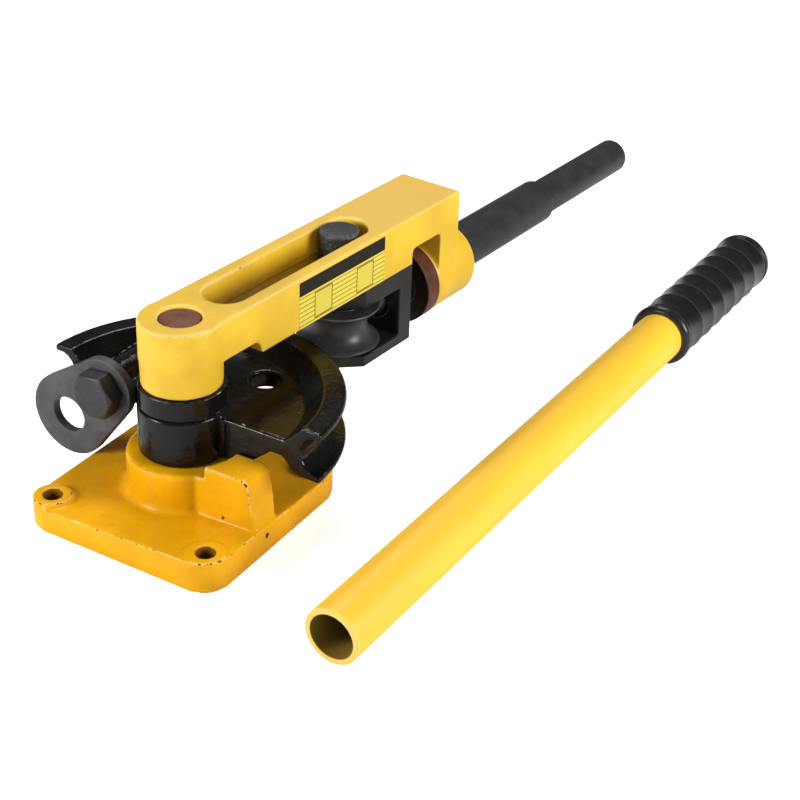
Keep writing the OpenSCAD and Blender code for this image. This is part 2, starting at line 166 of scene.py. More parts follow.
class BenderSizes(bpy.types.PropertyGroup):
    """Roundings and small details that the solids leave out."""

    base_grain: FloatProperty(
        name="Base grain", description="Fineness of the base's skin", unit="LENGTH", default=1.1 * MM)
    arm_grain: FloatProperty(
        name="Arm grain", description="Fineness of the arm's skin", unit="LENGTH", default=1.0 * MM)
    die_grain: FloatProperty(
        name="Die grain", description="Fineness of the die's skin", unit="LENGTH", default=1.1 * MM)
    steel_grain: FloatProperty(
        name="Steel grain", description="Fineness of the steel parts' skin", unit="LENGTH", default=0.6 * MM)
    turned_edge: FloatProperty(
        name="Turned edge", description="Rounding of the turned pieces", unit="LENGTH", default=1.0 * MM)
    round_steps: IntProperty(
        name="Steps round", description="Faces round a turned piece", default=144, min=24)
    slot_start: FloatProperty(
        name="Slot start", description="Near end of the slot, from the pin", unit="LENGTH", default=29.5 * MM)
    slot_end: FloatProperty(
        name="Slot end", description="Far end of the slot, from the pin", unit="LENGTH", default=187 * MM)
    slot_half: FloatProperty(
        name="Slot half", description="Half of the slot's least width", unit="LENGTH", default=14.3 * MM)
    slot_draft: FloatProperty(
        name="Slot draft", description="Widening towards the slot's mouths", unit="LENGTH", default=1.2 * MM)
    thread_pitch: FloatProperty(
        name="Thread pitch", description="Rise of the lead screw in one turn", unit="LENGTH", default=5 * MM)
    thread_depth: FloatProperty(
        name="Thread depth", description="Depth of the lead screw's thread", unit="LENGTH", default=2 * MM)
    pipe_groove: FloatProperty(
        name="Pipe groove", description="Radius of the roller's hollow", unit="LENGTH", default=13.3 * MM)
    grip_rings: IntProperty(
        name="Grip rings", description="Hollows between the grip's ridges", default=7, min=1)
    grip_dip: FloatProperty(
        name="Grip dip", description="Depth of those hollows", unit="LENGTH", default=0.8 * MM)
    label_start: FloatProperty(
        name="Label start", description="Near end of the label along the arm", unit="LENGTH", default=87 * MM)
    label_end: FloatProperty(
        name="Label end", description="Far end of the label along the arm", unit="LENGTH", default=183 * MM)
    label_low: FloatProperty(
        name="Label low", description="Lower edge of the label", unit="LENGTH", default=105 * MM)
    label_high: FloatProperty(
        name="Label high", description="Upper edge of the label", unit="LENGTH", default=139 * MM)


class StudioSettings(bpy.types.PropertyGroup):
    """Camera and light of the studio."""

    camera_place: FloatVectorProperty(
        name="Camera place", description="Where the camera stands", subtype="TRANSLATION", unit="LENGTH",
        default=(-0.72042, -0.56196, 0.62010))
    azimuth: FloatProperty(
        name="Azimuth", description="Turn of the view, 0 looks along +Y", subtype="ANGLE",
        default=math.radians(-60.805))
    elevation: FloatProperty(
        name="Elevation", description="Height of the view over the horizon", subtype="ANGLE",
        default=math.radians(30.498))
    roll: FloatProperty(
        name="Roll", description="Turn of the picture", subtype="ANGLE", default=math.radians(2.4506))
    lens: FloatProperty(
        name="Lens", description="Focal length on a 36 mm wide frame, in millimetres", default=73.787)
    world_light: FloatProperty(
        name="World light", description="Strength of the light from all round", default=0.29)
    mirror_light: FloatProperty(
        name="Mirror light", description="Strength of the surroundings in reflections", default=0.15)
    lamp_power: FloatProperty(
        name="Lamp power", description="Power of a lamp with a share of 1", subtype="POWER", default=13.0)


def settings(context):
    """The groups of values for the pieces: colours and sizes."""
    return context.scene.bender_colours, context.scene.bender_sizes


def new_piece(mesh, finish):
    """Object of a mesh with its finish, in the scene."""
    mesh.materials.append(finish)
    piece = bpy.data.objects.new(mesh.name, mesh)
    bpy.context.scene.collection.objects.link(piece)
    return piece


def link_piece(mesh, node, finish):
    """Puts a finished mesh into the scene in place of a CAD node, on that node's body."""
    piece = new_piece(mesh, finish)
    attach(piece, NODES[node]["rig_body"])
    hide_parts(node)


def keep_wear_and_shading(mesh, wear_and_shading):
    """Keeps each place's wear and shading value on a mesh, for the finishes' wear and painted light."""
    mesh.attributes.new("wear_and_shading", "FLOAT", "POINT").data.foreach_set("value", wear_and_shading.ravel())


def clean_mesh(name, verts, faces, sharp_angle=40, wear_and_shading=None):
    """Mesh with merged poles, outward faces, smooth shading between sharp edges, and wear and shading where
    given.
    """
    mesh = bpy.data.meshes.new(name)
    mesh.from_pydata(verts.reshape(-1, 3).tolist(), [], faces)
    if wear_and_shading is not None:
        keep_wear_and_shading(mesh, wear_and_shading)
    work = bmesh.new()
    work.from_mesh(mesh)
    bmesh.ops.remove_doubles(work, verts=work.verts, dist=WELD_GAP)
    bmesh.ops.recalc_face_normals(work, faces=work.faces)
    work.to_mesh(mesh)
    work.free()
    mesh.shade_smooth()
    mesh.set_sharp_from_angle(angle=math.radians(sharp_angle))
    return mesh


def grid_faces(rows, columns, wrap_rows=False, wrap_columns=False):
    """Quads of a grid of vertices numbered row by row, closed in either direction where asked."""
    r = np.arange(rows if wrap_rows else rows - 1)[:, None]
    c = np.arange(columns if wrap_columns else columns - 1)[None, :]
    r2, c2 = (r + 1) % rows, (c + 1) % columns
    quads = np.stack([r * columns + c, r * columns + c2, r2 * columns + c2, r2 * columns + c], axis=-1)
    return quads.reshape(-1, 4).tolist()


def soften(outline, radius, closed=False, steps=5):
    """Outline with each corner replaced by a short curve (1-t)^2 a + 2t(1-t) corner + t^2 b, where a and b
    lie radius before and after the corner, at most 48% of the shorter side. One radius or one a corner."""
    pts = np.array(outline, float)
    before, after = np.roll(pts, 1, axis=0) - pts, np.roll(pts, -1, axis=0) - pts
    len_b = np.linalg.norm(before, axis=1, keepdims=True)
    len_a = np.linalg.norm(after, axis=1, keepdims=True)
    reach = np.broadcast_to(np.reshape(radius, (-1, 1)), len_b.shape)
    most = 0.48 * np.minimum(len_b, len_a)
    cut = np.minimum(reach, most)
    start, end = pts + before / len_b * cut, pts + after / len_a * cut
    t = np.linspace(0, 1, steps + 1)[None, :, None]
    arcs = (1 - t) ** 2 * start[:, None] + 2 * t * (1 - t) * pts[:, None] + t ** 2 * end[:, None]
    if closed:
        return arcs.reshape(-1, 2)
    return np.concatenate([pts[:1], arcs[1:-1].reshape(-1, 2), pts[-1:]])


def edge_wear_and_shading(profile):
    """Wear and shading value of a turned profile, for wear and painted highlight: 0.6 times the angle by
    which it turns at a point, in radians, above zero on outer edges and below zero in corners. Next to a
    straight stretch it is zero."""
    wear_and_shading_share, straight = 0.6, 1.5 * MM
    before, after = profile - np.roll(profile, 1, axis=0), np.roll(profile, -1, axis=0) - profile
    turn = np.arctan2(before[:, 1] * after[:, 0] - before[:, 0] * after[:, 1], (before * after).sum(axis=1))
    longest = np.maximum(np.linalg.norm(before, axis=1), np.linalg.norm(after, axis=1))
    return np.where(longest < straight, wear_and_shading_share * turn, 0.0)


def revolve(name, axis, profile, closed=False):
    """Surface of revolution: profile point (h, r) goes round the axis as place(h, r, t), t over a full turn.
    A closed profile makes a ring, an open one starts and ends on the axis."""
    steps = bpy.context.scene.bender_sizes.round_steps
    angle = np.linspace(0, 2 * math.pi, steps, endpoint=False)[None, :]
    height = np.repeat(profile[:, :1], steps, axis=1)
    radius = np.repeat(profile[:, 1:], steps, axis=1)
    verts = axis.place(height, radius, np.broadcast_to(angle, height.shape))
    wear_and_shading = np.repeat(edge_wear_and_shading(profile), steps)
    return clean_mesh(name, verts, grid_faces(len(profile), steps, closed, True), wear_and_shading=wear_and_shading)


def turned_ring(name, axis, edge, node, finish):
    """Plain ring with rounded edges in place of a CAD node, over that node's span and radii about an axis."""
    low, high = axis.span(node)
    inner, outer = axis.radii(node)
    profile = soften([(low, inner), (low, outer), (high, outer), (high, inner)], edge, True)
    link_piece(revolve(name, axis, profile, True), node, finish)


def merged(node):
    """Working copy of a CAD node with its loose triangles joined into whole flat faces."""
    work = bmesh.new()
    work.from_mesh(NODES[node].data)
    bmesh.ops.remove_doubles(work, verts=work.verts, dist=WELD_GAP)
    bmesh.ops.dissolve_limit(work, angle_limit=FLAT_ANGLE, verts=work.verts, edges=work.edges)
    return work


def to_mesh(work, name):
    """Smooth-shaded mesh from a working copy, which is freed."""
    mesh = bpy.data.meshes.new(name)
    work.to_mesh(mesh)
    work.free()
    mesh.shade_smooth()
    return mesh


def skin(solid, grain, axis, passes=2):
    """Rounded skin of a closed mesh: the solid is filled with cells of one grain, in rows along an axis, and
    the shell of the fill eased by p += (mean of the neighbours of p - p) / 2. How far that took a place in
    along its normal, in grains, stays on the mesh as its wear and shading value, read by the finishes for
    wear and for painted shade and highlight: above zero on edges, below zero in corners."""
    turn = np.stack([axis.along, axis.left, axis.top], axis=1)
    solid.vertices.foreach_set("co", (read(solid.vertices, "co", 3) @ turn).ravel())
    shell = bpy.data.objects.new(solid.name, solid)
    bpy.context.scene.collection.objects.link(shell)
    fill = shell.modifiers.new("fill", "REMESH")
    fill.mode, fill.voxel_size, fill.adaptivity = "VOXEL", grain, 0.0
    graph = bpy.context.evaluated_depsgraph_get()
    mesh = bpy.data.meshes.new_from_object(shell.evaluated_get(graph), depsgraph=graph)
    mesh.name = solid.name + "_skin"
    bpy.data.objects.remove(shell)
    bpy.data.meshes.remove(solid)
    start, normals = read(mesh.vertices, "co", 3), read(mesh.vertex_normals, "vector", 3)
    one, two = read(mesh.edges, "vertices", 2, np.int32).T
    count = len(start)
    degree = np.bincount(one, minlength=count) + np.bincount(two, minlength=count)
    eased = start.copy()
    for _ in range(passes):
        total = [np.bincount(one, part[two], count) + np.bincount(two, part[one], count) for part in eased.T]
        eased += (np.stack(total, axis=1) / degree[:, None] - eased) / 2
    mesh.vertices.foreach_set("co", (eased @ turn.T).ravel())
    keep_wear_and_shading(mesh, ((start - eased) * normals).sum(axis=1) / grain)
    mesh.shade_smooth()
    return mesh


class Finish:
    """A procedural material: wraps its node tree so that a finish reads as a short list of steps."""

    def __init__(self, name):
        self.material = bpy.data.materials.new(name)
        self.material.use_nodes = True
        self.tree = self.material.node_tree
        self.shader = self.tree.nodes["Principled BSDF"]
        coordinates = self.tree.nodes.new("ShaderNodeTexCoord")
        self.place, self.sheet = coordinates.outputs["Object"], coordinates.outputs["UV"]

    @cached_property
    def wear_and_shading(self):
        """Wear and shading value of a place, as kept on the mesh, for wear and painted shade and highlight.
        """
        return self.node("ShaderNodeAttribute", {}, attribute_name="wear_and_shading").outputs["Fac"]

    def feed(self, node, inputs):
        """Feeds a node's inputs: links sockets, sets numbers, vectors and colours, and passes over None."""
        for key, value in inputs.items():
            socket = node.inputs[key]
            if isinstance(value, bpy.types.NodeSocket):
                self.tree.links.new(value, socket)
            elif value is not None:
                socket.default_value = (*value, 1.0) if socket.type == "RGBA" else value

    def node(self, kind, inputs, **properties):
        """Adds a node, sets its properties and feeds its inputs."""
        made = self.tree.nodes.new(kind)
        for key, value in properties.items():
            setattr(made, key, value)
        self.feed(made, inputs)
        return made

    def stretch(self, scale):
        """Object coordinates scaled by a Mapping node."""
        return self.node("ShaderNodeMapping", {"Vector": self.place, "Scale": scale}).outputs["Vector"]

    def along(self, direction, origin=(0.0, 0.0, 0.0)):
        """Distance of a place along a direction from an origin, in metres."""
        offset = self.node("ShaderNodeVectorMath", {0: self.place, 1: tuple(origin)}, operation="SUBTRACT")
        inputs = {0: offset.outputs["Vector"], 1: tuple(direction)}
        return self.node("ShaderNodeVectorMath", inputs, operation="DOT_PRODUCT").outputs["Value"]

    def radius(self, axis):
        """Distance of a place from an axis, in metres."""
        across = [self.math("POWER", self.along(side, axis.origin), 2.0) for side in (axis.left, axis.top)]
        return self.math("SQRT", self.math("ADD", *across))

    def noise(self, size, detail=3.0, rough=0.5, place=None):
        """Fractal noise whose lumps are about size metres across, 0 to 1."""
        inputs = {"Vector": place or self.place, "Scale": 1.0 / size, "Detail": detail, "Roughness": rough}
        return self.node("ShaderNodeTexNoise", inputs).outputs["Fac"]

    def uneven(self, size, detail, rough, amount):
        """Wear and shading value made patchy: value + amount * noise."""
        return self.math("ADD", self.wear_and_shading, self.math("MULTIPLY", self.noise(size, detail, rough), amount))

    def band(self, value, low, high, to_low=0.0, to_high=1.0):
        """Smooth step of a value between two limits."""
        inputs = {"Value": value, "From Min": low, "From Max": high, "To Min": to_low, "To Max": to_high}
        return self.node("ShaderNodeMapRange", inputs, interpolation_type="SMOOTHSTEP").outputs["Result"]

    def fall(self, value, low, high, amount=1.0):
        """Smooth step down from an amount at the low limit to 0 at the high one."""
        return self.band(value, low, high, amount, 0.0)

    def off(self, value, middle):
        """Distance of a value from a middle one: |value - middle|."""
        return self.math("ABSOLUTE", self.math("SUBTRACT", value, middle))

    def math(self, operation, first, second=0.0):
        """One arithmetic step on two sockets or numbers."""
        return self.node("ShaderNodeMath", {0: first, 1: second}, operation=operation).outputs["Value"]

    def mix(self, amount, first, second):
        """Colour mix of two sockets or colours."""
        return self.node("ShaderNodeMix", {0: amount, 6: first, 7: second}, data_type="RGBA").outputs[2]

    def bump(self, height, distance, strength, under=None):
        """Bump of a height socket, over another bump where given."""
        inputs = {"Height": height, "Distance": distance, "Strength": strength, "Normal": under}
        return self.node("ShaderNodeBump", inputs).outputs["Normal"]

    def done(self, colour, rough, normal, shine):
        """Closes the finish by feeding its shader."""
        inputs = {"Base Color": colour, "Roughness": rough, "Normal": normal, "Specular IOR Level": shine}
        self.feed(self.shader, inputs)
        return self.material


def tint(colour, factor):
    """A colour made lighter or darker, as a tuple."""
    return tuple(min(1.0, channel * factor) for channel in colour)


def cast_enamel(name, colour, lump, rough, shine, chips, rubbed_and_highlit, mottle):
    """Gloss enamel on a casting, which enamel_done closes: mottled colour, pale on edges as thin worn paint
    and as a painted highlight, a painted shade in corners, and chipped in a few spots, more so on edges."""
    f = Finish(name)
    broad, fine = f.noise(40 * MM, 4.0), f.noise(6 * MM, 5.0, 0.6)
    body = f.mix(f.band(broad, 0.35, 0.68), tint(colour, 0.88), tint(colour, 1.06))
    body = f.mix(f.band(fine, 0.45, 0.72, 0.0, mottle), body, tint(colour, 0.76))
    # painted shade: darker in corners, where the wear and shading value is below zero
    body = f.mix(f.fall(f.wear_and_shading, -0.30, -0.05, 0.35), body, tint(colour, 0.55))
    # pale edges: partly thin worn paint, partly a painted highlight
    pale_worn_highlight = tuple(0.25 * c + 0.75 * p for c, p in zip(colour, (1.0, 0.92, 0.62)))
    body = f.mix(f.band(f.uneven(16 * MM, 3.0, 0.5, 0.30), 0.28, 0.44, 0.0, rubbed_and_highlit), body, pale_worn_highlight)
    likely = f.math("ADD", f.noise(5 * MM, 4.0, 0.65), f.math("MULTIPLY", f.wear_and_shading, 1.4))
    f.chips = f.math("MAXIMUM", f.band(likely, 0.84 - chips, 0.86 - chips),
                     f.band(f.noise(9 * MM, 2.0, 0.4), 0.80 - chips, 0.81 - chips))
    f.body, f.height, f.lump, f.rough, f.shine = body, f.noise(11 * MM, 3.0), lump, rough, shine
    return f


def enamel_done(f):
    """Closes an enamel: chips down to dark iron, sheen, and bumps for lumps, sandy peel and chips."""
    body = f.mix(f.chips, f.body, (0.030, 0.020, 0.012))
    sheen = f.band(f.noise(6 * MM, 5.0, 0.6), 0.3, 0.8, f.rough - 0.05, f.rough + 0.08)
    lumps = f.bump(f.height, f.lump, 0.8)
    peel = f.bump(f.noise(2.2 * MM, 3.0), 0.5 * f.lump, 0.8, lumps)
    pitted = f.bump(f.chips, -0.25 * MM, 0.8, peel)
    return f.done(body, sheen, pitted, f.shine)


def base_enamel(name, colour):
    """Enamel of the base: painted shade, dark brown, inside the four bolt holes, which sit at the same |x|
    and |y|.
    """
    f = cast_enamel(name, colour, lump=0.30 * MM, rough=0.25, shine=0.15, chips=0.01, rubbed_and_highlit=0.6, mottle=0.5)
    dims = MOUNTS["base_bolts"]["dims"]
    squares = []
    for side, spread in (((1.0, 0.0, 0.0), dims["spacing_x_mm"]), ((0.0, 1.0, 0.0), dims["spacing_y_mm"])):
        away = f.math("SUBTRACT", f.math("ABSOLUTE", f.along(side)), 0.5 * spread * MM)
        squares.append(f.math("POWER", away, 2.0))
    radius = f.math("SQRT", f.math("ADD", *squares))
    hole = dims["hole_r_mm"] * MM
    # painted shade: dark brown inside the four bolt holes
    f.body = f.mix(f.fall(radius, hole + 0.2 * MM, hole + 0.9 * MM, 0.85), f.body, (0.10, 0.040, 0.006))
    return enamel_done(f)


def arm_enamel(name, colour, slot):
    """Enamel of the arm: a pale painted reflection on the top, and in the slot a rough parting line with
    painted shade below it.
    """
    f = cast_enamel(name, colour, lump=0.08 * MM, rough=0.40, shine=0.4, chips=-0.23, rubbed_and_highlit=0.25, mottle=0.2)
    middle, start, end, half, top = slot
    # painted reflection: paler top, growing towards the far end of the arm
    painted_top_reflection = f.math("MULTIPLY", f.band(f.along(UP), top - 0.6 * MM, top - 0.1 * MM),
                   f.band(f.along(ARM), start, end + 60 * MM, 0.1, 0.8))
    f.body = f.mix(painted_top_reflection, f.body, (0.73, 0.466, 0.10))
    reach = 0.5 * (end - start)
    inside = f.math("MULTIPLY", f.fall(f.off(f.along(ARM_AXIS.left), 0.0), half, half + 1 * MM),
                    f.fall(f.off(f.along(ARM), start + reach), reach, reach + 2 * MM))
    height = f.math("ADD", f.along(UP), f.math("MULTIPLY", f.noise(5 * MM, 4.0, 0.7), 3.0 * MM))
    # painted shade: darker below the parting line inside the slot
    painted_shade_below = f.fall(height, middle + 0.8 * MM, middle + 1.6 * MM, 0.45)
    f.body = f.mix(f.math("MULTIPLY", painted_shade_below, inside), f.body, tint(colour, 0.45))
    line = f.fall(f.off(height, middle + 1.5 * MM), 0.5 * MM, 1.2 * MM)
    seam = f.math("MULTIPLY", line, inside)
    f.body = f.mix(f.math("MULTIPLY", seam, 0.6), f.body, tint(colour, 0.35))
    f.height = f.math("ADD", f.height, f.math("MULTIPLY", seam, 3.0))
    return enamel_done(f)


def die_enamel(name, colour):
    """Thick black enamel on a rough casting. Edges of the cut face, at x = 0, are worn to bright metal,
    painted near white, which also stands in for their highlight; other edges get a faint painted highlight.
    """
    f = Finish(name)
    body = f.mix(f.band(f.noise(22 * MM, 4.0), 0.4, 0.7), tint(colour, 0.6), tint(colour, 1.4))
    # near-white edges: worn metal and painted highlight at the cut face, a faint painted highlight elsewhere
    at_face = f.band(f.off(f.along((1.0, 0.0, 0.0)), 0.0), 1.5 * MM, 3 * MM, 1.0, 0.10)
    bright_wear_and_highlight = f.math("MULTIPLY", at_face, f.band(f.uneven(9 * MM, 4.0, 0.7, 0.6), 0.44, 0.60))
    body = f.mix(bright_wear_and_highlight, body, (0.80, 0.78, 0.72))
    sheen = f.band(f.noise(5 * MM, 4.0, 0.6), 0.3, 0.75, 0.10, 0.24)
    lumps = f.bump(f.noise(7 * MM, 4.0, 0.55), 0.6 * MM, 0.8)
    grit = f.bump(f.noise(2.2 * MM, 3.0), 0.14 * MM, 0.8, lumps)
    return f.done(body, sheen, grit, 0.22)


def oxide_steel(name, colour, rough=0.42, pits=0.06, shine=0.3, grain=(1.0, 1.0, 1.0)):
    """Satin black oxide: cloudy grey, fine grain and small pits, and lighter on worn edges, partly as rubbed
    steel and partly as a painted highlight.
    """
    f = Finish(name)
    cloud = f.noise(16 * MM, 5.0, 0.6)
    lines = f.noise(1.6 * MM, 3.0, 0.6, f.stretch(grain))
    body = f.mix(f.band(cloud, 0.35, 0.7), tint(colour, 0.80), tint(colour, 1.30))
    body = f.mix(f.band(lines, 0.40, 0.75, 0.0, 0.25), body, tint(colour, 1.5))
    # lighter edges: partly rubbed steel, partly a painted highlight
    body = f.mix(f.band(f.uneven(8 * MM, 4.0, 0.5, 0.30), 0.28, 0.42, 0.0, 0.7), body, tint(colour, 4.0))
    sheen = f.band(cloud, 0.25, 0.8, rough - 0.06, rough + 0.08)
    pitted = f.bump(f.noise(2.8 * MM, 4.0, 0.6), pits * MM, 0.8)
    return f.done(body, sheen, pitted, shine)


def brown_steel(name, colour, axis, rim=None, face=None):
    """Brown hardened steel with dull patches and turning rings about an axis. Towards a rim radius it is
    black, and below a face height it is a near-black painted shade."""
    f = Finish(name)
    cloud, radius = f.noise(9 * MM, 4.0, 0.6), f.radius(axis)
    body = f.mix(f.band(cloud, 0.3, 0.7), tint(colour, 0.8), tint(colour, 1.2))
    if rim is not None:
        body = f.mix(f.band(radius, rim - 1.6 * MM, rim - 0.5 * MM, 0.0, 0.8), body, tint(colour, 0.15))
    # painted shade: near black below the face height
    if face is not None:
        height = f.along(axis.along, axis.origin)
        body = f.mix(f.fall(height, face, face + 0.4 * MM, 0.92), body, tint(colour, 0.1))
    ring_pitch = 0.9 * MM
    rings = f.math("SINE", f.math("MULTIPLY", radius, 2 * math.pi / ring_pitch))
    sheen = f.band(cloud, 0.3, 0.7, 0.38, 0.52)
    marks = f.bump(f.noise(1.4 * MM, 3.0), 0.03 * MM, 0.6, f.bump(rings, 0.004 * MM, 0.5))
    return f.done(body, sheen, marks, 0.22)


def tube_paint(name, colour, bore):
    """Sprayed satin paint on a drawn tube: long soft streaks, orange peel, a pale cut end, and in the bore
    dark bare steel, partly painted shade, with a painted yellow reflection near the mouth that fades inwards."""
    f = Finish(name)
    streaks = f.noise(14 * MM, 4.0, 0.6, f.stretch((0.12, 1.0, 1.0)))
    body = f.mix(f.band(streaks, 0.35, 0.7), tint(colour, 0.96), tint(colour, 1.04))
    deep = f.along(TUBE_AXIS.along, TUBE_AXIS.origin)
    body = f.mix(f.fall(deep, 0.2 * MM, 0.9 * MM, 0.4), body, (0.88, 0.66, 0.24))
    inside = f.fall(f.radius(TUBE_AXIS), bore + 0.2 * MM, bore + 0.5 * MM)
    # bore: dark brown steel, partly its own colour and partly painted shade
    bore_steel_and_shade = f.mix(f.band(f.noise(6 * MM, 4.0), 0.35, 0.65), (0.045, 0.030, 0.016), (0.085, 0.055, 0.022))
    # painted reflection: yellow near the mouth, fading deeper into the bore
    painted_mouth_reflection = f.mix(f.fall(deep, 5 * MM, 45 * MM, 0.8), bore_steel_and_shade, (0.26, 0.17, 0.022))
    body = f.mix(inside, body, painted_mouth_reflection)
    sheen = f.band(f.noise(5 * MM, 3.0), 0.3, 0.7, 0.42, 0.54)
    peel = f.bump(f.noise(1.8 * MM, 2.0), 0.03 * MM, 0.6)
    return f.done(body, sheen, peel, 0.32)


def grip_rubber(name, colour):
    """Moulded soft plastic with a fine grain, cloudy gloss and a painted highlight on the ridges."""
    f = Finish(name)
    cloud = f.noise(12 * MM, 4.0, 0.6)
    body = f.mix(f.band(cloud, 0.35, 0.7), tint(colour, 0.9), tint(colour, 1.6))
    # painted highlight: lighter ridges, where the wear and shading value is above zero
    body = f.mix(f.band(f.wear_and_shading, 0.02, 0.20, 0.0, 0.7), body, tint(colour, 9.0))
    sheen = f.band(cloud, 0.3, 0.75, 0.22, 0.34)
    grain = f.bump(f.noise(1.2 * MM, 2.0), 0.015 * MM, 0.5)
    return f.done(body, sheen, grain, 0.28)


def label_print(name, ground):
    """A blank printed label read from the sheet's UV: dark header, ruled lines and two empty frames."""
    f = Finish(name)
    split = f.node("ShaderNodeSeparateXYZ", {"Vector": f.sheet})
    u, v = split.outputs["X"], split.outputs["Y"]
    dark = (0.008, 0.007, 0.006)
    line_count, frame_height, aspect, header = 10.0, 0.35, 0.36, 0.70
    rows = f.math("FRACT", f.math("MULTIPLY", v, line_count))
    ruled = f.fall(f.off(rows, 0.5), 0.06, 0.11)
    body = f.mix(f.math("MULTIPLY", ruled, 0.85), tint(ground, 1.0), dark)
    for middle in (0.27, 0.76):
        away = f.math("MAXIMUM", f.off(u, middle), f.math("MULTIPLY", f.off(v, frame_height), aspect))
        body = f.mix(f.fall(away, 0.098, 0.104), body, tint(ground, 0.9))
        rim = f.math("MULTIPLY", f.band(away, 0.092, 0.095), f.fall(away, 0.100, 0.103))
        body = f.mix(rim, body, dark)
    body = f.mix(f.band(v, header - 0.005, header + 0.005), body, dark)
    sheen = f.band(f.noise(6 * MM), 0.3, 0.7, 0.32, 0.44)
    waves = f.bump(f.noise(20 * MM, 2.0), 0.08 * MM, 0.5)
    return f.done(body, sheen, waves, 0.15)


class BENDER_OT_studio(bpy.types.Operator):
    """Makes the camera at the photograph's angle, the pale floor, the world and the lamps"""

    bl_idname = "bender.studio"
    bl_label = "Studio"

    def execute(self, context):
        studio = context.scene.bender_studio
        self.camera(context.scene, studio)
        self.floor()
        self.world(context.scene, studio)
        self.lamps(context.scene, studio.lamp_power)
        context.scene.view_settings.view_transform = "Standard"
        return {"FINISHED"}

    def camera(self, scene, studio):
        """Looks along (-sin a cos e, cos a cos e, -sin e), then rolls about that line."""
        a, e, roll = studio.azimuth, studio.elevation, studio.roll
        forward = np.array([-math.sin(a) * math.cos(e), math.cos(a) * math.cos(e), -math.sin(e)])
        right = np.array([math.cos(a), math.sin(a), 0.0])
        up = np.cross(right, forward)
        turn = np.stack([right * math.cos(roll) + up * math.sin(roll),
                         up * math.cos(roll) - right * math.sin(roll), -forward], axis=1)
        data = bpy.data.cameras.new("camera")
        data.sensor_width = 36.0
        data.lens = studio.lens
        data.clip_start, data.clip_end = 0.05, 50.0
        camera = bpy.data.objects.new("camera", data)
        camera.matrix_world = Matrix.Translation(studio.camera_place) @ Matrix(turn.tolist()).to_4x4()
        scene.collection.objects.link(camera)
        scene.camera = camera

    def floor(self):
        """Large square just under the object. A glow that only the camera sees makes it white. The glow grows
        between a near and a far distance from the pin."""
        half, drop, near, far = 6.0, 0.2 * MM, 0.8, 2.5
        corners = [(x * half, y * half, -drop) for x, y in ((-1, -1), (1, -1), (1, 1), (-1, 1))]
        mesh = bpy.data.meshes.new("floor")
        mesh.from_pydata(corners, [], [(0, 1, 2, 3)])
        f = Finish("floor")
        f.done((0.90, 0.90, 0.90), 0.9, None, 0.1)
        seen = f.node("ShaderNodeLightPath", {}).outputs["Is Camera Ray"]
        glow = f.band(f.radius(PIN_AXIS), near, far, 0.62, 0.85)
        lift = f.node("ShaderNodeEmission", {"Strength": f.math("MULTIPLY", seen, glow)})
        both = f.node("ShaderNodeAddShader", {0: f.shader.outputs[0], 1: lift.outputs[0]})
        f.tree.links.new(both.outputs[0], f.tree.nodes["Material Output"].inputs["Surface"])
        floor = new_piece(mesh, f.material)

    def world(self, scene, studio):
        """White to the camera, dim in reflections, an even soft light for everything else."""
        world = bpy.data.worlds.new("studio")
        world.use_nodes = True
        tree = world.node_tree
        back = tree.nodes["Background"]
        back.inputs["Color"].default_value = (1.0, 1.0, 1.0, 1.0)
        path = tree.nodes.new("ShaderNodeLightPath")
        dim, white = (tree.nodes.new("ShaderNodeMapRange") for _ in range(2))
        dim.inputs["To Min"].default_value = studio.world_light
        dim.inputs["To Max"].default_value = studio.mirror_light
        white.inputs["To Max"].default_value = 1.0
        tree.links.new(path.outputs["Is Glossy Ray"], dim.inputs["Value"])
        tree.links.new(path.outputs["Is Camera Ray"], white.inputs["Value"])
        tree.links.new(dim.outputs["Result"], white.inputs["To Min"])
        tree.links.new(white.outputs["Result"], back.inputs["Strength"])
        scene.world = world

    def lamps(self, scene, power):
        """Two soft lamps left and right of the camera and one over the far side that glints on flat tops."""
        aim = np.array([0.12, -0.06, 0.06])
        for name, place, size, share in (("left", (-0.95, 0.60, 0.50), 0.45, 1.1),
                                         ("right", (0.25, -1.25, 0.50), 0.45, 1.2),
                                         ("back", (0.65, 0.35, 1.30), 0.6, 0.75)):
            data = bpy.data.lights.new(name, "AREA")
            data.size, data.energy = size, power * share
            lamp = bpy.data.objects.new(name, data)
            view = Axis(place, np.array(place) - aim, ARM)
            lamp.matrix_world = Matrix.Translation(place) @ Matrix(
                np.stack([view.left, view.top, view.along], axis=1).tolist()).to_4x4()
            scene.collection.objects.link(lamp)


class BENDER_OT_base(bpy.types.Operator):
    """Dresses the base casting with rounded edges and chipped gloss enamel"""

    bl_idname = "bender.base"
    bl_label = "Base"

    def execute(self, context):
        colours, sizes = settings(context)
        mesh = skin(to_mesh(merged("base_casting"), "base_cast"), sizes.base_grain, EAST_AXIS, passes=3)
        link_piece(mesh, "base_casting", base_enamel("base_enamel", colours.base_yellow))
        return {"FINISHED"}


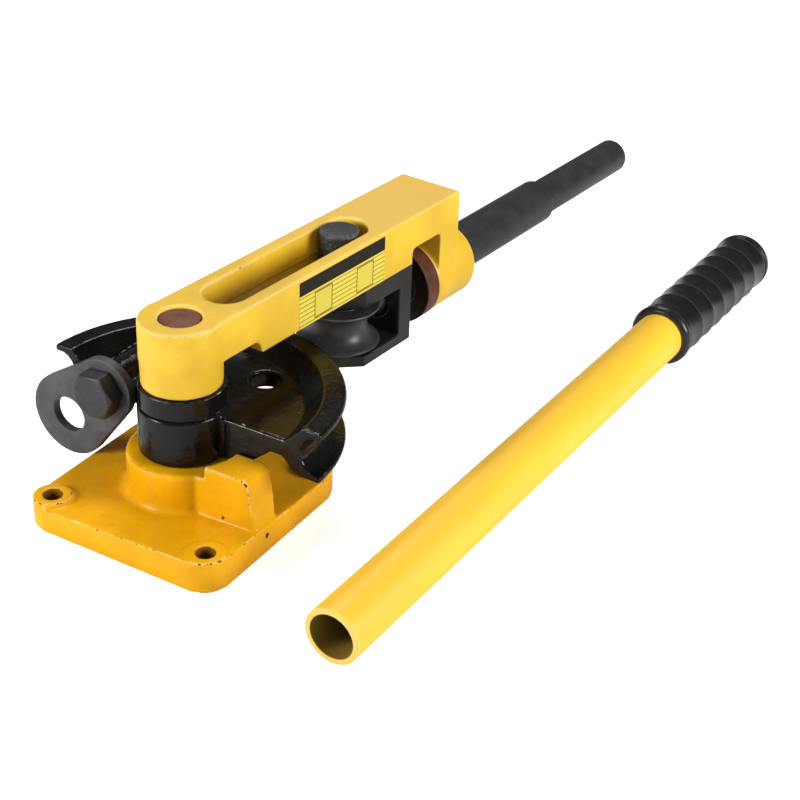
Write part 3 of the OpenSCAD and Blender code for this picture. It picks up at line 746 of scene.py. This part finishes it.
class BENDER_OT_arm(bpy.types.Operator):
    """Dresses the lever arm: slot with draft to both sides, rounded edges, enamel"""

    bl_idname = "bender.arm"
    bl_label = "Lever arm"

    def execute(self, context):
        colours, sizes = settings(context)
        middle, top = self.heights()
        slot = (middle, sizes.slot_start, sizes.slot_end, sizes.slot_half + sizes.slot_draft, top)
        mesh = skin(self.drafted(sizes, middle), sizes.arm_grain, ARM_AXIS, passes=5)
        link_piece(mesh, "lever_arm", arm_enamel("arm_enamel", colours.arm_yellow, slot))
        return {"FINISHED"}

    def heights(self):
        """Middle height of the slot's wall and height of the arm's top."""
        beam_start, beam_end = 100 * MM, 200 * MM
        along, _, height = ARM_AXIS.local(points("lever_arm")).T
        beam = height[(along > beam_start) & (along < beam_end)]
        return 0.5 * float(beam.min() + beam.max()), float(beam.max())

    def drafted(self, sizes, middle):
        """Copy of the arm, cut at the slot's middle height, with both mouths of the slot moved outwards,
        square to the slot's middle line: a place p goes by draft * (p - q) / |p - q|, q its nearest place
        on that line."""
        work = merged("lever_arm")
        everything = [*work.verts, *work.edges, *work.faces]
        bmesh.ops.bisect_plane(work, geom=everything, plane_co=(0, 0, middle), plane_no=(0, 0, 1))
        mesh = to_mesh(work, "arm_cast")
        places = read(mesh.vertices, "co", 3)
        local = ARM_AXIS.local(places)
        line = np.clip(local[:, 0], sizes.slot_start + sizes.slot_half, sizes.slot_end - sizes.slot_half)
        off = np.stack([local[:, 0] - line, local[:, 1]], axis=1)
        length = np.maximum(np.linalg.norm(off, axis=1), WELD_GAP)
        wall_gap, cut_gap = 0.03 * MM, 0.01 * MM
        mouth = (np.abs(length - sizes.slot_half) < wall_gap) & (np.abs(local[:, 2] - middle) > cut_gap)
        move = np.where(mouth, sizes.slot_draft / length, 0.0)[:, None]
        places += move * (off[:, :1] * ARM_AXIS.along + off[:, 1:] * ARM_AXIS.left)
        mesh.vertices.foreach_set("co", places.ravel())
        return mesh


class BENDER_OT_die(bpy.types.Operator):
    """Dresses the die and the ring over it in thick black enamel"""

    bl_idname = "bender.die"
    bl_label = "Die"

    def execute(self, context):
        colours, sizes = settings(context)
        black = die_enamel("die_enamel", colours.die_black)
        mesh = skin(to_mesh(merged("bending_die"), "die_cast"), sizes.die_grain, EAST_AXIS)
        link_piece(mesh, "bending_die", black)
        turned_ring("ring_turned", PIN_AXIS, sizes.turned_edge, "spacer_ring", black)
        return {"FINISHED"}


class BENDER_OT_pin(bpy.types.Operator):
    """Turns the main pin and the thrust washer in brown steel"""

    bl_idname = "bender.pin"
    bl_label = "Pin and washer"

    def execute(self, context):
        colours, sizes = settings(context)
        top_stretch, tolerance, pin_edge, painted_shade_depth = 20 * MM, 0.2 * MM, 1.2 * MM, 0.4 * MM
        low, high = PIN_AXIS.span("main_pin")
        head = PIN_AXIS.radii("main_pin")[1]
        shank = PIN_AXIS.radii("main_pin", high - top_stretch)[1]
        height, radius = PIN_AXIS.polar("main_pin")
        step = float(height[radius > head - tolerance].max())
        rod = [(low, 0), (low, head), (step, head), (step, shank), (high, shank), (high, 0)]
        brown = brown_steel("pin_brown", colours.pin_brown, PIN_AXIS, rim=shank)
        link_piece(revolve("pin_turned", PIN_AXIS, soften(rod, pin_edge)), "main_pin", brown)
        # painted shade: the washer's front face, within this depth, is near black
        face = SPINDLE_AXIS.span("thrust_washer")[0] + painted_shade_depth
        brown = brown_steel("washer_brown", tint(colours.pin_brown, 0.65), SPINDLE_AXIS, face=face)
        turned_ring("washer_turned", SPINDLE_AXIS, sizes.turned_edge, "thrust_washer", brown)
        return {"FINISHED"}


class BENDER_OT_eye(bpy.types.Operator):
    """Dresses the eye plate and its bolt in worn oxide"""

    bl_idname = "bender.eye"
    bl_label = "Eye plate and bolt"

    def execute(self, context):
        colours, sizes = settings(context)
        for node, tone in (("eye_plate", 1.0), ("eye_bolt", 0.5)):
            colour = tint(colours.eye_grey, tone)
            solid = to_mesh(merged(node), node + "_forged")
            if node == "eye_plate":
                self.ease_bore(solid)
            mesh = skin(solid, sizes.steel_grain, EAST_AXIS)
            link_piece(mesh, node, oxide_steel(node + "_oxide", colour, rough=0.44, pits=0.10))
        return {"FINISHED"}

    def ease_bore(self, solid):
        """Widens the plate's bore under the bolt's head, r + ease, so that the two skins turn freely."""
        ease, tolerance = 0.3 * MM, 0.1 * MM
        bolt = Axis(JOINTS["eye_swing"]["pos_m"], (1, 0, 0))
        height, left, top = bolt.local(read(solid.vertices, "co", 3)).T
        radius, angle = np.hypot(left, top), np.arctan2(top, left)
        radius[radius < radius.min() + tolerance] += ease
        solid.vertices.foreach_set("co", bolt.place(height, radius, angle).ravel())


class BENDER_OT_spindle(bpy.types.Operator):
    """Turns the spindle's sleeve and the spigot that takes the handle"""

    bl_idname = "bender.spindle"
    bl_label = "Spindle"

    def execute(self, context):
        colour = tint(context.scene.bender_colours.oxide_black, 1.5)
        black = oxide_steel("spindle_oxide", colour, rough=0.44, pits=0.03, grain=(0.15, 1.0, 1.0))
        end_stretch = 1 * MM
        low, high = SPINDLE_AXIS.span("spindle_sleeve")
        bore = SPINDLE_AXIS.radii("spindle_sleeve", high=low + end_stretch)[0]
        outer = SPINDLE_AXIS.radii("spindle_sleeve")[1]
        inner, tip = SPINDLE_AXIS.span("spindle_spigot")
        shank = SPINDLE_AXIS.radii("spindle_spigot", high=inner + end_stretch)[1]
        spigot = SPINDLE_AXIS.radii("spindle_spigot")[1]
        ring = [(low, bore), (low, outer), (high, outer), (high, shank), (inner, shank), (inner, bore)]
        profile = soften(ring, np.array([0.2, 0.6, 1.6, 0.1, 0.1, 0.1]) * MM, True)
        mesh = revolve("sleeve_turned", SPINDLE_AXIS, profile, True)
        link_piece(mesh, "spindle_sleeve", black)
        rod = [(inner, 0), (inner, shank), (high, shank), (high, spigot), (tip, spigot), (tip, 0)]
        profile = soften(rod, np.array([0, 0.5, 0.1, 0.1, 2.8, 0]) * MM)
        mesh = revolve("spigot_turned", SPINDLE_AXIS, profile)
        link_piece(mesh, "spindle_spigot", black)
        return {"FINISHED"}


class BENDER_OT_carriage(bpy.types.Operator):
    """Dresses the fork, its nuts and spacers, the axle, and cuts the thread of the lead screw"""

    bl_idname = "bender.carriage"
    bl_label = "Roller carriage"

    def execute(self, context):
        colours, sizes = settings(context)
        black = oxide_steel("fork_oxide", tint(colours.oxide_black, 0.9), rough=0.34, pits=0.04, shine=0.28)
        for node in ("roller_fork", "screw_nut_inner", "screw_nut_outer"):
            mesh = skin(to_mesh(merged(node), node + "_milled"), sizes.steel_grain, ARM_AXIS)
            link_piece(mesh, node, black)
        for node in ("roller_spacer_lower", "roller_spacer_upper"):
            turned_ring(node + "_turned", AXLE_AXIS, 0.4 * MM, node, black)
        low, high = AXLE_AXIS.span("roller_axle")
        outer = AXLE_AXIS.radii("roller_axle")[1]
        profile = soften([(low, 0), (low, outer), (high, outer), (high, 0)], np.array([0, 0.8, 3.2, 0]) * MM)
        pitted = oxide_steel("axle_oxide", tint(colours.oxide_black, 1.5), pits=1.2, shine=0.42)
        link_piece(revolve("axle_turned", AXLE_AXIS, profile), "roller_axle", pitted)
        self.screw(colours, sizes)
        return {"FINISHED"}

    def screw(self, colours, sizes):
        """Thread: r = R - depth * clip(2 |2 w - 1| - 0.5, 0, 1), w the fraction of h / pitch - t / (2 pi).
        Towards both ends it runs out into a core of radius R - depth."""
        low, high = SPINDLE_AXIS.span("lead_screw")
        outer = SPINDLE_AXIS.radii("lead_screw")[1]
        steps, rows_a_turn, run_out = 48, 16, 2 * MM
        height = np.linspace(low, high, int((high - low) / sizes.thread_pitch * rows_a_turn))[:, None]
        angle = np.linspace(0, 2 * math.pi, steps, endpoint=False)[None, :]
        turn = (height / sizes.thread_pitch - angle / (2 * math.pi)) % 1.0
        groove = np.clip(2 * np.abs(2 * turn - 1) - 0.5, 0, 1)
        ends = np.clip(np.minimum(height - low, high - height) / run_out, 0, 1)
        radius = (outer - sizes.thread_depth * (1 - ends)) - sizes.thread_depth * groove * ends
        height, angle = (np.broadcast_to(part, radius.shape) for part in (height, angle))
        radius = np.pad(radius, ((1, 1), (0, 0)))
        height, angle = (np.pad(part, ((1, 1), (0, 0)), mode="edge") for part in (height, angle))
        verts = SPINDLE_AXIS.place(height, radius, angle)
        mesh = clean_mesh("screw_thread", verts, grid_faces(len(height), steps, False, True))
        oiled = oxide_steel("screw_steel", colours.screw_grey, rough=0.30, pits=0.03, shine=0.5)
        link_piece(mesh, "lead_screw", oiled)


class BENDER_OT_roller(bpy.types.Operator):
    """Turns the form roller with its hollow waist"""

    bl_idname = "bender.roller"
    bl_label = "Form roller"

    def execute(self, context):
        colours, sizes = settings(context)
        low, high = AXLE_AXIS.span("form_roller")
        bore, outer = AXLE_AXIS.radii("form_roller")
        groove, middle = sizes.pipe_groove, 0.5 * (low + high)
        height, radius = AXLE_AXIS.polar("form_roller")
        near_middle, wall, arc_points = 3 * MM, 1 * MM, 33
        waist = float(radius[(np.abs(height - middle) < near_middle) & (radius > bore + wall)].min())
        reach = math.acos((waist + groove - outer) / groove)
        sweep = np.linspace(-reach, reach, arc_points)
        hollow = np.stack([middle + groove * np.sin(sweep), waist + groove - groove * np.cos(sweep)], axis=1)
        edges = np.array([0, 1.2, 0]) * MM
        rim = soften([(low, bore), (low, outer), tuple(hollow[0])], edges)
        lip = soften([tuple(hollow[-1]), (high, outer), (high, bore)], edges)
        profile = np.concatenate([rim[:-1], hollow[1:-1], lip[1:]])
        colour = tint(colours.oxide_black, 1.9)
        steel = oxide_steel("roller_oxide", colour, rough=0.37, pits=0.015, shine=0.38, grain=(1.0, 1.0, 4.0))
        link_piece(revolve("roller_turned", AXLE_AXIS, profile, True), "form_roller", steel)
        return {"FINISHED"}


class BENDER_OT_handle(bpy.types.Operator):
    """Turns the loose handle: painted tube and ribbed grip"""

    bl_idname = "bender.handle"
    bl_label = "Handle"

    def execute(self, context):
        colours, sizes = settings(context)
        bore, outer = TUBE_AXIS.radii("handle_tube")
        satin = tube_paint("tube_satin", colours.tube_yellow, bore)
        turned_ring("tube_drawn", TUBE_AXIS, 0.8 * MM, "handle_tube", satin)
        soft = grip_rubber("grip_soft", colours.grip_black)
        profile = self.grip(sizes, outer, TUBE_AXIS.span("handle_tube")[1])
        link_piece(revolve("grip_moulded", TUBE_AXIS, profile), "handle_grip", soft)
        return {"FINISHED"}

    def grip(self, sizes, tube, tube_end):
        """Ridges and hollows: r = ridge - dip * sin(pi w) ^ 0.8, w the fraction of the way from ridge to
        ridge, between a round bead at the mouth and a notch and cap at the closed end."""
        low, high = TUBE_AXIS.span("handle_grip")
        outer = TUBE_AXIS.radii("handle_grip")[1]
        bead, ridge, rim = 5 * MM, outer - 0.6 * MM, high - 10 * MM
        bead_points, ring_points = 16, 18
        turn = np.radians(np.linspace(-80, 35, bead_points))
        mouth = np.stack([low + bead + bead * np.sin(turn), outer - bead + bead * np.cos(turn)], axis=1)
        way = np.linspace(0, sizes.grip_rings, ring_points * sizes.grip_rings + 1)
        dip = sizes.grip_dip * np.sin(math.pi * (way % 1.0)) ** 0.8
        start = low + 2 * bead
        rings = np.stack([start + (rim - start) * way / sizes.grip_rings, ridge - dip], axis=1)
        notch = [(rim + away * MM, ridge - deep * MM) for away, deep in ((1.2, 0.5), (2, 1.0), (3, 1.0))]
        cap = [(rim + 4 * MM, outer - 0.3 * MM), (high, outer - 0.8 * MM), (high, 0.0)]
        end = soften(notch + cap, np.array([0, 0.4, 0.5, 0.6, 3.0, 0]) * MM)
        inside = [(tube_end, 0.0), (tube_end, tube), (low + 0.3 * MM, tube)]
        return np.concatenate([np.array(inside), mouth, rings, end])


class BENDER_OT_label(bpy.types.Operator):
    """Sticks the blank label on the arm's near side"""

    bl_idname = "bender.label"
    bl_label = "Label"

    def execute(self, context):
        colours, sizes = settings(context)
        piece = new_piece(self.sheet(sizes), label_print("label_print", colours.label_yellow))
        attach(piece, NODES["lever_arm"]["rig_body"])
        return {"FINISHED"}

    def sheet(self, sizes):
        """Thin sheet with round corners: rings of one outline, each lifted off the arm and drawn in a little,
        closed to a middle place on front and back; UV runs from 0 to 1 along the arm and up."""
        top_stretch, corner_round = 1 * MM, 1.2 * MM
        along, left, height = ARM_AXIS.local(points("lever_arm")).T
        side = float(left[(height > height.max() - top_stretch) & (along > sizes.label_start)].min())
        corners = [(sizes.label_start, sizes.label_low), (sizes.label_end, sizes.label_low),
                   (sizes.label_end, sizes.label_high), (sizes.label_start, sizes.label_high)]
        outline = soften(corners, corner_round, True)
        middle = outline.mean(0)
        lift = np.array([-0.05, -0.05, 0.12, 0.22, 0.22])[:, None] * MM
        draw = np.array([0.0, 0.0, 0.0, 0.15, 0.0])[:, None] * MM
        reach = outline - middle
        scale = 1 - draw / np.linalg.norm(reach, axis=1)
        scale[[0, -1]] = 0.0
        flat = middle + reach[None] * scale[..., None]
        out = side - np.broadcast_to(lift, scale.shape)
        verts = flat[..., :1] * ARM_AXIS.along + out[..., None] * ARM_AXIS.left + flat[..., 1:] * UP
        faces = grid_faces(len(lift), len(outline), False, True)
        mesh = clean_mesh("label_sheet", verts, faces, sharp_angle=15)
        along, _, height = ARM_AXIS.local(read(mesh.vertices, "co", 3)).T
        u = (along - sizes.label_start) / (sizes.label_end - sizes.label_start)
        v = (height - sizes.label_low) / (sizes.label_high - sizes.label_low)
        corner = read(mesh.loops, "vertex_index", 1, np.int32)[:, 0]
        layer = mesh.uv_layers.new(name="sheet")
        layer.data.foreach_set("uv", np.stack([u, v], axis=1)[corner].ravel())
        return mesh


class BENDER_PT_panel(bpy.types.Panel):
    """Lists the steps that dress the bender"""

    bl_idname = "BENDER_PT_panel"
    bl_label = "Pipe bender"
    bl_space_type = "VIEW_3D"
    bl_region_type = "UI"
    bl_category = "Bender"

    def draw(self, context):
        for step in STEPS:
            self.layout.operator(step.bl_idname)


GROUPS = {"bender_colours": BenderColours, "bender_sizes": BenderSizes, "bender_studio": StudioSettings}
STEPS = (BENDER_OT_studio, BENDER_OT_base, BENDER_OT_arm, BENDER_OT_die, BENDER_OT_pin, BENDER_OT_eye,
         BENDER_OT_spindle, BENDER_OT_carriage, BENDER_OT_roller, BENDER_OT_handle, BENDER_OT_label)


def register():
    """Registers the groups of values, the steps and the panel."""
    for name, group in GROUPS.items():
        bpy.utils.register_class(group)
        setattr(bpy.types.Scene, name, PointerProperty(type=group))
    for item in (*STEPS, BENDER_PT_panel):
        bpy.utils.register_class(item)


def unregister():
    """Takes everything out again, in reverse."""
    for item in (BENDER_PT_panel, *reversed(STEPS)):
        bpy.utils.unregister_class(item)
    for name, group in reversed(GROUPS.items()):
        delattr(bpy.types.Scene, name)
        bpy.utils.unregister_class(group)


def main():
    """Runs the steps in order."""
    register()
    for step in STEPS:
        group, name = step.bl_idname.split(".")
        getattr(getattr(bpy.ops, group), name)()


if __name__ == "__main__":
    main()
